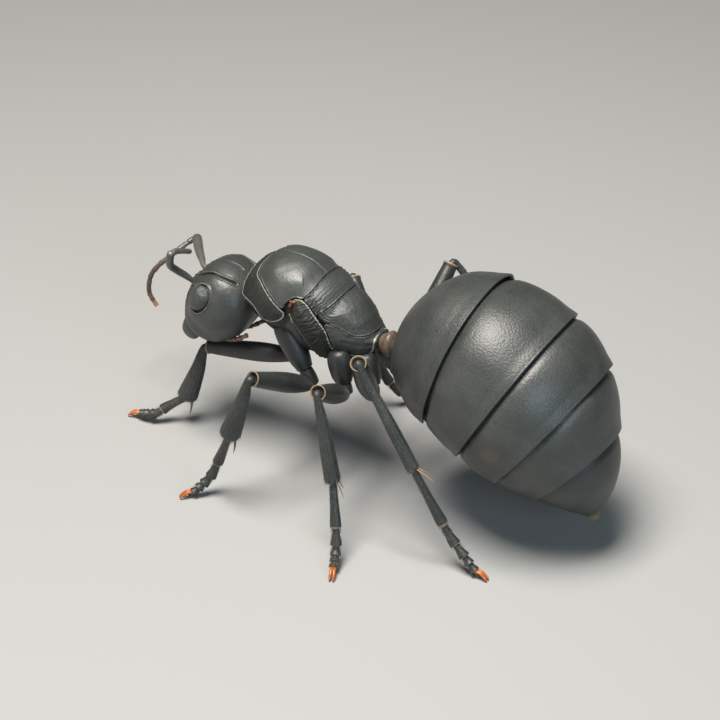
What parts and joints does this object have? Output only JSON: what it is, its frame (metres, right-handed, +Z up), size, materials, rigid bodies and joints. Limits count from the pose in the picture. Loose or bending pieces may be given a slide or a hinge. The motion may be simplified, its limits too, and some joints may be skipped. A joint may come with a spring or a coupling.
{
  "type": "carpenter ant queen",
  "caption": "Life-size model of a wingless carpenter ant queen standing with a large overlapping gaster, humped trunk and bent feelers.",
  "frame": {"origin": "centre of the bounding box in plan, at the level of the floor under the claws", "axes": "+Z up, -X the way the head points, -Y the animal's left side"},
  "size_m": [0.019, 0.0116, 0.009],
  "materials": {
    "shell": "satin dark charcoal shell plate",
    "limb": "satin dark grey shell with short pale hairs",
    "feeler": "satin brown, paler at the tip",
    "jaw": "satin dark brown horn",
    "palp": "matt pinkish brown",
    "eye": "finely faceted, satin grey-black",
    "waist": "satin tan brown",
    "claw": "polished amber horn"
  },
  "bodies": {
    "root": {"head": "shell", "eye_left": "eye", "eye_right": "eye", "mandible_left": "jaw", "mandible_right": "jaw", "palp_left": "palp", "palp_right": "palp", "scape_left": "limb", "scape_right": "limb", "funiculus_left": "feeler", "funiculus_right": "feeler", "pronotum": "shell", "mesoscutum": "shell", "scutellum": "shell", "propodeum": "shell", "mesopleura": "shell", "metapleura": "shell", "breast": "shell", "petiole": "waist", "tergite_1": "shell", "tergite_2": "shell", "tergite_3": "shell", "tergite_4": "shell", "tergite_5": "shell", "coxa_front_left": "limb", "trochanter_front_left": "limb", "femur_front_left": "limb", "tibia_front_left": "limb", "tarsus_front_left": "limb", "claws_front_left": "claw", "coxa_front_right": "limb", "trochanter_front_right": "limb", "femur_front_right": "limb", "tibia_front_right": "limb", "tarsus_front_right": "limb", "claws_front_right": "claw", "coxa_middle_left": "limb", "trochanter_middle_left": "limb", "femur_middle_left": "limb", "tibia_middle_left": "limb", "tarsus_middle_left": "limb", "claws_middle_left": "claw", "coxa_middle_right": "limb", "trochanter_middle_right": "limb", "femur_middle_right": "limb", "tibia_middle_right": "limb", "tarsus_middle_right": "limb", "claws_middle_right": "claw", "coxa_hind_left": "limb", "trochanter_hind_left": "limb", "femur_hind_left": "limb", "tibia_hind_left": "limb", "tarsus_hind_left": "limb", "claws_hind_left": "claw", "coxa_hind_right": "limb", "trochanter_hind_right": "limb", "femur_hind_right": "limb", "tibia_hind_right": "limb", "tarsus_hind_right": "limb", "claws_hind_right": "claw"}
  },
  "joints": []
}
